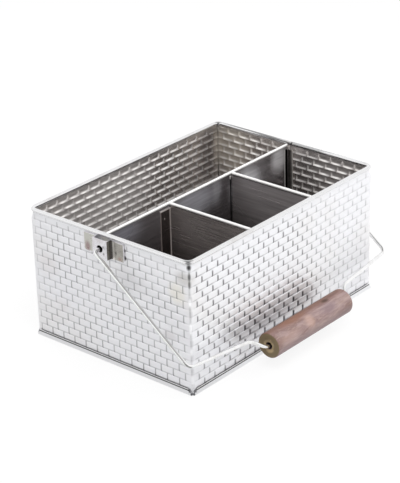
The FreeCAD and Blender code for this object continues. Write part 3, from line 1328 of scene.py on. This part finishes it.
@dataclass
class TurnedGrip:
    """The walnut grip, turned with a bevelled bore and eased ends."""

    finish: WalnutFinish
    axis_y: float
    axis_z: float
    length: float = 105.0
    radius: float = 11.5
    bore: float = 2.5
    mouth: float = 3.6
    edge: float = 1.2
    edge_curve: Span = (0.12, 0.5)
    split_angle: float = 50.0
    sides: int = 64
    rings: int = 24

    def build(self) -> bpy.types.Object:
        """Spins the grip's profile about its axis.

        Returns:
            The grip as one piece.
        """
        shape = bmesh.new()
        half = self.length / 2
        inner_run = self.mouth - self.bore
        low, high = (self.edge * part for part in self.edge_curve)
        end = [
            (-half, self.mouth), (-half, self.radius - self.edge), (-half + low, self.radius - high),
            (-half + high, self.radius - low), (-half + self.edge, self.radius),
        ]
        pitch = (self.length - 2 * self.edge) / self.rings
        profile = end + [(-half + self.edge + pitch * ring, self.radius) for ring in range(1, self.rings)]
        profile += [(-x, r) for x, r in reversed(end)]
        profile += [(half - inner_run, self.bore), (-half + inner_run, self.bore)]
        verts = [shape.verts.new((x, r, 0)) for x, r in profile]
        edges = [shape.edges.new(pair) for pair in zip(verts, verts[1:] + verts[:1])]
        bmesh.ops.spin(
            shape, geom=verts + edges, cent=(0, 0, 0), axis=(1, 0, 0), angle=2 * math.pi,
            steps=self.sides, use_merge=True,
        )
        bmesh.ops.remove_doubles(shape, verts=shape.verts, dist=MERGE)
        bmesh.ops.recalc_face_normals(shape, faces=shape.faces)
        bmesh.ops.translate(shape, vec=(0, self.axis_y, self.axis_z), verts=shape.verts)
        material = self.finish.material(self.axis_y, self.axis_z)
        piece = finish_piece("turned_grip", shape, [material])
        sharp = piece.modifiers.new("eased_ends", "EDGE_SPLIT")
        sharp.split_angle = math.radians(self.split_angle)
        return piece


@dataclass(frozen=True)
class Lamp:
    """A square soft lamp that hangs over the object, in metres and watts."""

    name: str
    place: Triple
    size: float
    power: float
    aim: Triple = (0.0, 0.0, 0.05)

    def hang(self) -> None:
        """Makes the lamp and turns it to its aim."""
        data = bpy.data.lights.new(self.name, "AREA")
        data.shape = "SQUARE"
        data.size = self.size
        data.energy = self.power
        lamp = bpy.data.objects.new(self.name, data)
        lamp.location = self.place
        lamp.visible_glossy = False
        lamp.rotation_euler = (Vector(self.aim) - Vector(self.place)).to_track_quat("-Z", "Y").to_euler()
        bpy.context.scene.collection.objects.link(lamp)


@dataclass
class Studio:
    """Floor, surroundings, lamps and camera, in metres."""

    floor_size: float = 6.0
    floor_drop: float = 0.0003
    floor_grey: float = 0.9
    camera_place: Triple = (-1.09248, -0.94132, 0.74740)
    camera_right: Triple = (0.64626, -0.76270, -0.02521)
    camera_ahead: Triple = (0.68328, 0.59305, -0.42593)
    lens: float = 133.45
    sensor: float = 36.0
    clip_start: float = 0.05
    near_corner: Span = (-0.126, -0.09)
    camera_side: Span = (-0.757, -0.653)
    wedge_edges: Span = (0.7, 0.94)
    wedge_depth: float = 0.8
    grade_span: Span = (-0.17, 0.03)
    left_level: float = 0.735
    far_span: Span = (-0.62, -0.36)
    far_level: float = 1.1
    shadow_share: float = 0.12
    dark_edges: Span = (0.82, 0.96)
    dark_level: float = 0.12
    overhead_span: Span = (0.74, 0.93)
    overhead_level: float = 0.28
    soft_level: float = 0.5
    lamps: tuple[Lamp, ...] = (
        Lamp("key_lamp", (-0.5, -0.6, 1.3), 0.9, 14.0),
        Lamp("side_lamp", (0.9, -0.5, 0.9), 0.8, 7.0),
        Lamp("back_lamp", (0.2, 1.0, 1.1), 0.9, 7.0),
    )

    def build(self) -> None:
        """Sets up everything round the object."""
        self._camera()
        self._floor()
        self._world()
        for lamp in self.lamps:
            lamp.hang()
        bpy.context.scene.view_settings.view_transform = "Standard"

    def _camera(self) -> None:
        """Places the camera."""
        data = bpy.data.cameras.new("camera")
        data.lens = self.lens
        data.sensor_width = self.sensor
        data.clip_start = self.clip_start
        camera = bpy.data.objects.new("camera", data)
        right, ahead = Vector(self.camera_right), Vector(self.camera_ahead)
        up = right.cross(ahead)
        turn = Matrix((right, up, -ahead)).transposed().to_4x4()
        camera.matrix_world = Matrix.Translation(self.camera_place) @ turn
        bpy.context.scene.collection.objects.link(camera)
        bpy.context.scene.camera = camera

    def _floor(self) -> None:
        """Lays a white floor with a faint shadow, duller in gloss to the left and towards the camera."""
        shape = bmesh.new()
        bmesh.ops.create_grid(shape, x_segments=1, y_segments=1, size=self.floor_size / 2 / MM)
        bmesh.ops.translate(shape, vec=(0, 0, -self.floor_drop / MM), verts=shape.verts)
        graph = Surface("white_floor")
        seen, gloss = graph.rays()
        from_corner = graph.vector_math("SUBTRACT", graph.place, (*self.near_corner, 0.0))
        heading = graph.vector_math("NORMALIZE", graph.vector_math("MULTIPLY", from_corner, (1.0, 1.0, 0.0)))
        towards = graph.vector_math("DOT_PRODUCT", heading, (*self.camera_side, 0.0))
        wedge = graph.rescale(towards, *self.wedge_edges, 0.0, self.wedge_depth, smooth=True)
        across = graph.split(graph.place)[0]
        graded = graph.math(
            "MAXIMUM",
            graph.rescale(across, *self.grade_span, self.left_level, 1.0, smooth=True),
            graph.rescale(across, *self.far_span, self.far_level, self.left_level, smooth=True),
        )
        level = graph.product(graded, graph.math("SUBTRACT", 1.0, wedge))
        shown = graph.math("MAXIMUM", seen["Is Camera Ray"], level)
        matt = graph.add("ShaderNodeBsdfDiffuse", {"Color": (*[self.floor_grey] * 3, 1.0)})
        glow = graph.add("ShaderNodeEmission", {"Color": WHITE, "Strength": shown})
        either = graph.math("MAXIMUM", seen["Is Camera Ray"], gloss)
        share = graph.product(either, 1 - self.shadow_share)
        both = graph.add("ShaderNodeMixShader", {0: share, 1: matt.outputs[0], 2: glow.outputs[0]})
        finish_piece("floor", shape, [graph.end(both)])

    def _world(self) -> None:
        """Surrounds the object with white, with a dark patch round the camera in what gloss shows."""
        world = bpy.data.worlds.new("surroundings")
        world.use_nodes = True
        world.node_tree.nodes.clear()
        graph = NodeGraph(world.node_tree)
        heading = graph.add("ShaderNodeTexCoord").outputs["Generated"]
        seen, gloss = graph.rays()
        facing = graph.vector_math("DOT_PRODUCT", heading, -Vector(self.camera_ahead))
        dark = graph.rescale(facing, *self.dark_edges, 1.0, self.dark_level, smooth=True)
        up = graph.split(heading)[2]
        overhead = graph.rescale(up, *self.overhead_span, 1.0, self.overhead_level, smooth=True)
        lit = graph.math("SUBTRACT", 1.0, gloss)
        in_gloss = graph.product(gloss, graph.product(dark, overhead))
        level = graph.math("MULTIPLY_ADD", lit, self.soft_level, in_gloss)
        shown = graph.math("MAXIMUM", seen["Is Camera Ray"], level)
        back = graph.add("ShaderNodeBackground", {"Color": WHITE, "Strength": shown})
        graph.add("ShaderNodeOutputWorld", {"Surface": back.outputs[0]})
        bpy.context.scene.world = world


OUTSIDE_STEEL = EmbossedFinish(
    name="embossed_outside", colour=(242, 242, 245), stain=(232, 229, 226),
    stain_amount=0.5, roughness=0.33, roughness_spread=0.12, grain=(90.0, 90.0, 1400.0), grain_depth=0.04,
    # Joints beside and below each brick painted darker, as painted shade in the grooves.
    stain_size=11.0, metallic=0.52, head_painted_light=(84, 82, 86), head_amount=0.58, head_width=0.15,
    bed_painted_light=(122, 122, 127), bed_amount=0.36, bed_width=0.25, bed_rest=0.35,
    # The joints' painted shade varies along the front wall, and round this spot it is a painted reflection of
    # the grip.
    varied=FrontJoints(Spot((-14, -90, 29), (84, 30, 32), raggedness=0.5)),
    accents=(
        Spot((-126, 70, 73), (12, 17, 15), (214, 203, 198), 0.5),
        Spot((-126, 56, 40), (12, 11, 9), (214, 204, 200), 0.4),
        Spot((-126, -21, 85), (12, 24, 17), (212, 211, 214), 0.6),
        Spot((-126, -76, 91), (12, 13, 14), (232, 228, 216), 0.6),
        Spot((-126, -66, 49), (12, 12, 7), (206, 202, 204), 0.5),
        Spot((-126, -84, 106), (12, 12, 9), (196, 192, 188), 0.6),
        # Painted shade: a broad darker area low on the left of the front wall.
        Spot((-60, -90, 28), (75, 12, 28), (222, 222, 227), 0.6),
        # Painted shadow: dark spots on the left wall beside the bracket's front end, and under the rim there.
        Spot((-126.2, -19.8, 112.9), (2, 1.7, 2.4), (26, 24, 24), 1.0, 0.0, 0.0),
        Spot((-126.2, -20.3, 106.2), (2, 1.7, 2.8), (26, 24, 24), 1.0, 0.0, 0.0),
        Spot((-126.3, -15.6, 118.5), (2, 2.6, 0.8), (40, 38, 38), 0.9, 0.0, 0.0),
        Spot((-126.3, -18.8, 117.5), (2, 1.5, 1.3), (40, 38, 38), 0.9, 0.0, 0.0),
        # Painted light: a pale, duller spot on the wall behind the bracket's hat, where it lies in shade.
        Spot((-126, 2, 117.5), (3, 7, 4), (238, 234, 228), 1.0, 0.95, 0.0),
        Spot((-126, 58, 60), (12, 40, 44), (238, 238, 242), 0.7),
        # Painted shade: broad darker areas on the front wall.
        Spot((96, -90, 34), (52, 12, 44), (228, 228, 231), 0.75),
        Spot((10, -90, 74), (70, 12, 38), (240, 240, 243), 0.7),
        # Painted shadow under the rim at the front left corner, then painted shade and painted highlights
        # down the corner.
        Spot((-124.7, -88.7, 117), (3, 3, 3.4), (54, 52, 52), 0.95, 0.0, 0.0),
        Spot((-125.2, -89.2, 109), (1.8, 1.8, 5), (80, 78, 76), 0.8),
        Spot((-125.2, -89.2, 102), (1.6, 1.6, 5), (90, 88, 84), 0.7),
        *(
            Spot((-125.2, -89.2, height), (1.6, 1.6, reach), (250, 250, 252), amount, amount)
            for height, reach, amount in ((86, 5, 0.9), (62, 7, 0.8), (40, 5, 0.8), (14, 8, 0.6))
        ),
        # Painted light: a flat grey, duller strip along the wall's foot, lifting the shade just above the
        # base band.
        Patch((-130, -95, 5.2), (130, 95, 6.9), (226, 226, 228), 0.9, 0.6),
    ),
)
INSIDE_STEEL = EmbossedFinish(
    name="embossed_inside", colour=(240, 234, 230), stain=(190, 178, 170),
    stain_amount=0.5, roughness=0.22, roughness_spread=0.14, grain=(90.0, 90.0, 1400.0), grain_depth=0.08,
    # Joints painted near white as painted highlights on the ridges, and each brick's upper part painted
    # darker as painted shade.
    head_painted_light=(250, 247, 244), head_amount=0.75, head_dull=0.45, head_from=0.33, head_width=0.12,
    bed_painted_light=(255, 253, 250), bed_amount=1.0, bed_dull=0.5, bed_width=0.26, bed_fade=0.72,
    pocket_shade_colour=(166, 156, 151), pocket_shade_amount=0.75, shift=(0.04, 0.0), metallic=0.8,
    varied=InnerJoints(),
    accents=(
        # Painted light: broad lighter, duller areas on the inner rear and right walls.
        Spot((-75, 90, 95), (125, 20, 75), (248, 243, 240), 0.68, 0.27),
        Spot((126, -62, 100), (14, 60, 50), (248, 243, 240), 0.6, 0.22),
        Spot((-5, 90, 96), (60, 14, 44), (250, 246, 243), 0.4, 0.34),
        # Painted shade: a dark area near the rear wall's right end, and a dark line down the inner back right
        # corner.
        Spot((113, 90, 98), (24, 14, 56), (82, 76, 84), 0.6),
        Spot((124.9, 88.9, 95), (1.5, 1.5, 70), (40, 36, 36), 0.85, 0.0, 0.0),
        # Painted light: a pale cream area on the inner right wall.
        Spot((126, 72, 100), (14, 34, 50), (238, 228, 213), 0.75, 0.34),
    ),
)
RIM_STEEL = SteelFinish(
    name="rim_steel", colour=(243, 243, 244), stain=(216, 212, 210), stain_amount=0.5,
    roughness=0.2, roughness_spread=0.1, grain=(300.0, 300.0, 2600.0), grain_depth=0.08,
    # Painted shade: a dark spot on the rim over the front left corner.
    accents=(Spot((-125.2, -89.4, 119.6), (3.2, 3.2, 1.3), (52, 50, 50), 1.0, 0.0, 0.0),),
)
LONG_STEEL = SteelFinish(
    name="brushed_long", colour=(190, 186, 190), stain=(160, 150, 150),
    stain_amount=0.5, roughness=0.25, roughness_spread=0.16, grain=(15.0, 15.0, 430.0), grain_depth=0.6,
    # A painted highlight along the top bead, and painted shade lower down.
    metallic=0.88, bead_highlight_colour=(250, 249, 248), low_shade_colour=(110, 100, 98),
    accents=(
        # Painted sheen: lighter, duller areas that carry the brushed lines.
        Spot((-110, 4, 114), (44, 9, 26), (236, 238, 255), 0.6, 0.3, 0.3, True),
        Spot((-14, 4, 108), (48, 9, 22), (244, 245, 255), 0.7, 0.4, 0.3, True),
        Spot((22, 4, 112), (9, 9, 26), (250, 250, 255), 0.5, 0.3, 0.3, True),
        Spot((62, 4, 102), (30, 9, 24), (248, 248, 252), 0.95, 0.6, 0.3, True),
        Spot((112, 4, 110), (18, 9, 20), (250, 248, 250), 0.9, 0.55, 0.3, True),
        # Near the right end: a painted highlight on a strip, black painted as shade in the slot beyond it,
        # and painted shade and a painted highlight on the end tab.
        Patch((119.6, 3.6, 60), (120.8, 4.6, 115.4), (255, 253, 250), 0.8, 0.5),
        Patch((120.8, 3.4, 0), (124.2, 4.8, 115.6), (12, 10, 10)),
        Patch((124.2, -0.4, 40), (126, 4.0, 115.6), (130, 124, 120), 0.9),
        Patch((124.2, -1.7, 40), (126, -0.4, 115.6), (220, 214, 208), 0.9, 0.3),
        # Black painted as shade in the slot for the right cross divider, with a painted highlight at its top.
        Patch((40.1, 3, 0), (41.7, 4.6, 113), (12, 8, 8), 0.95),
        Spot((40.6, 4, 115.6), (1.6, 2, 2.6), (255, 253, 250), 1.0, 0.6, 0.0),
    ),
)
CROSS_STEEL = SteelFinish(
    name="brushed_cross", colour=(178, 171, 170), stain=(160, 148, 144),
    stain_amount=0.5, roughness=0.25, roughness_spread=0.16, grain=(15.0, 15.0, 430.0), grain_depth=0.5,
    # A painted highlight along the top bead, and painted shade lower down.
    metallic=0.88, bead_highlight_colour=(250, 249, 248), low_shade_colour=(96, 86, 84),
    accents=(
        # Painted sheen: lighter, duller areas that carry the brushed lines.
        Spot((-42, -48, 116), (8, 110, 84), (238, 227, 223), 0.55, 0.27, 0.1, True),
        Spot((42, -50, 118), (8, 110, 80), (242, 235, 236), 0.66, 0.36, 0.1, True),
        # Painted shade on the left cross divider's flange by the long divider, with painted highlights along
        # its ends and top and a small painted highlight on it.
        Patch((-56, 3, 0), (-43, 4.4, 116), (92, 84, 82), 0.85),
        Patch((-55.2, 3, 30), (-53.9, 4.4, 116), (190, 178, 174), 0.9, 0.3),
        Patch((-43.2, 2.7, 20), (-41.6, 4.4, 116), (210, 200, 196), 0.9, 0.35),
        Patch((-56, 3, 114.7), (-42, 4.4, 116), (240, 232, 228), 0.9, 0.45),
        Spot((-49.6, 3.5, 107.6), (1.1, 2, 1.3), (220, 212, 208), 0.9, 0.4, 0.0),
        # Painted shadow: a thin dark line just under the bead.
        Patch((-200, -200, 117.4), (200, 200, 118.1), (90, 86, 86), 0.45),
    ),
)
BASE_STEEL = SteelFinish(
    name="base_steel", colour=(244, 244, 245), stain=(226, 222, 216), stain_amount=0.4,
    roughness=0.3, roughness_spread=0.1, grain=(120.0, 120.0, 2000.0), grain_depth=0.06,
    accents=(
        # The band slightly greyer below, then a black line painted along its top as the shadow of the gap
        # under the wall.
        Patch((-140, -100, 0), (140, 100, 4.2), (240, 240, 242)),
        Patch((-140, -100, 4.2), (140, 100, 5.2), (14, 13, 13)),
        # Painted shadow in the notch of the base band at the front left corner.
        *(
            Spot(centre, reach, (22, 20, 20), raggedness=0.0)
            for centre, reach in (
                ((-126.6, -87.4, 3.3), (2, 1.4, 1.6)), ((-126.6, -89.4, 1.5), (2, 1.4, 1.8)),
                ((-123.4, -90.6, 3.3), (1.4, 2, 1.6)), ((-125.4, -90.6, 1.5), (1.4, 2, 1.8)),
            )
        ),
    ),
)
BRACKET_STEEL = SteelFinish(
    name="satin_bracket", colour=(251, 249, 253), stain=(214, 206, 206),
    stain_amount=0.5, roughness=0.28, roughness_spread=0.16, grain=(500.0, 500.0, 2200.0), grain_depth=0.12,
    stain_size=90.0,
    accents=(
        # Painted shade: the flanges painted greyer inside a lighter edge, with warmer spots, and a dark spot
        # painted as the shade of a dimple.
        Patch((-127.8, -19, 102), (127.8, -5.3, 118), (188, 185, 178)),
        Patch((-128, 13, 102.6), (128, 25.2, 118), (208, 207, 200)),
        Spot((-127, 21.4, 106), (8, 4.4, 7), (172, 154, 152)),
        Spot((-127, -10.9, 108.2), (4, 0.8, 2.4), (92, 90, 86), 1.0, 0.0, 0.0),
        Spot((-127, -15, 104), (4, 3.4, 2.6), (176, 152, 144), 0.7),
        # Painted shade down the hat's sides, a painted highlight along the bend beside them, and a dark spot
        # painted as shade on the hat's front.
        Patch((-132.4, -5.8, 100), (-129.6, -5.2, 120), (150, 146, 140)),
        Patch((-129.6, -7.0, 100), (-126.9, -5.2, 120), (104, 101, 97)),
        Patch((-127.9, -9.2, 102), (-126.9, -7.0, 118), (230, 227, 221), 0.9, 0.55),
        Spot((-133, -1.4, 106.6), (3, 1.8, 2.2), (120, 116, 116), 0.7, 0.0, 0.0),
    ),
)
WIRE_STEEL = SteelFinish(
    name="drawn_wire", colour=(252, 252, 252), stain=(206, 203, 198), stain_amount=0.3,
    roughness=0.14, roughness_spread=0.08, grain=(900.0, 500.0, 500.0), grain_depth=0.05, stain_size=60.0,
    accents=(
        # Painted shade: the rim wire painted black where it shows through the rim's seam.
        Patch((120, -1.3, 118), (130, 0.3, 126), (20, 18, 18)),
        # Painted reflection: the bail wire painted dark where it runs into the brackets.
        Patch((-132.1, -4, 103), (-129.8, 10, 118), (34, 31, 31)),
        Patch((129.8, -4, 103), (132.1, 10, 118), (34, 31, 31)),
    ),
)
WALNUT = WalnutFinish(
    name="oiled_walnut", pale=(172, 151, 143), middle=(151, 129, 128), dark=(128, 102, 95),
    # The grip's side in two tones of painted shade, ruddier above and greyer below, and its bore near black
    # as painted shade.
    end_pale=(160, 140, 106), end_dark=(106, 91, 66), upper_side_shade=(118, 82, 66), lower_side_shade=(134, 114, 116),
    bore=(34, 27, 22),
    marks=(
        Spot((-6, -9, 7), (8, 10, 9), (196, 164, 150), 0.45, 0.0, 1.0),
        Spot((-20, 1.5, 11.4), (26, 8, 4), (142, 99, 76), 0.45, 0.0, 0.8),
        Spot((-38, -10, 5), (20, 6, 6), (182, 156, 148), 0.4, 0.0, 0.8),
        Spot((22, -8, 8), (17, 9, 8), (132, 114, 121), 0.55, 0.0, 0.8),
        Spot((36, 1, 11.4), (16, 1.8, 2.4), (104, 78, 74), 0.55, 0.0, 0.5),
        Spot((25, -0.6, 11.4), (6.5, 3.2, 3), (78, 58, 50), 0.9),
    ),
)
DRESSED = (
    ("rim_wire", WIRE_STEEL), ("base_pan", BASE_STEEL), ("long_divider", LONG_STEEL),
    ("cross_divider_left", CROSS_STEEL), ("cross_divider_right", CROSS_STEEL),
    ("pivot_bracket_left", BRACKET_STEEL), ("pivot_bracket_right", BRACKET_STEEL), ("bail_wire", WIRE_STEEL),
)


def dress(node: str, finish: SteelFinish) -> None:
    """Gives a CAD node its finish.

    Args:
        node: The node's name.
        finish: What it is finished in.
    """
    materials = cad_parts[node].data.materials
    materials.clear()
    materials.append(finish.material())
    LOG.info("%s: dressed in %s", node, finish.name)


def seat(piece: bpy.types.Object, body: Body, slot: Slot, *nodes: str) -> None:
    """Ties a piece to its body and hides the CAD nodes it stands for.

    Args:
        piece: The piece.
        body: The body it rides on.
        slot: A material slot; not used.
        nodes: Names of the CAD nodes it stands for, if any.
    """
    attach(piece, body.value)
    if nodes:
        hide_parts(*nodes)


def main() -> None:
    """Builds the studio and every piece, in order."""
    logging.basicConfig(level=logging.INFO, format="%(name)s %(message)s")
    Studio().build()
    seat(EmbossedWall(OUTSIDE_STEEL, INSIDE_STEEL).build(), Body.BOX, Slot.EMBOSSED, "wall_band")
    seat(RolledRim(RIM_STEEL).build(), Body.BOX, Slot.EMBOSSED, "wall_band")
    low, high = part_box("grip")
    axis_y, axis_z = (low.y + high.y) / 2 / MM, (low.z + high.z) / 2 / MM
    seat(TurnedGrip(WALNUT, axis_y, axis_z).build(), Body.GRIP, Slot.WALNUT, "grip")
    for node, finish in DRESSED:
        dress(node, finish)


if __name__ == "__main__":
    main()
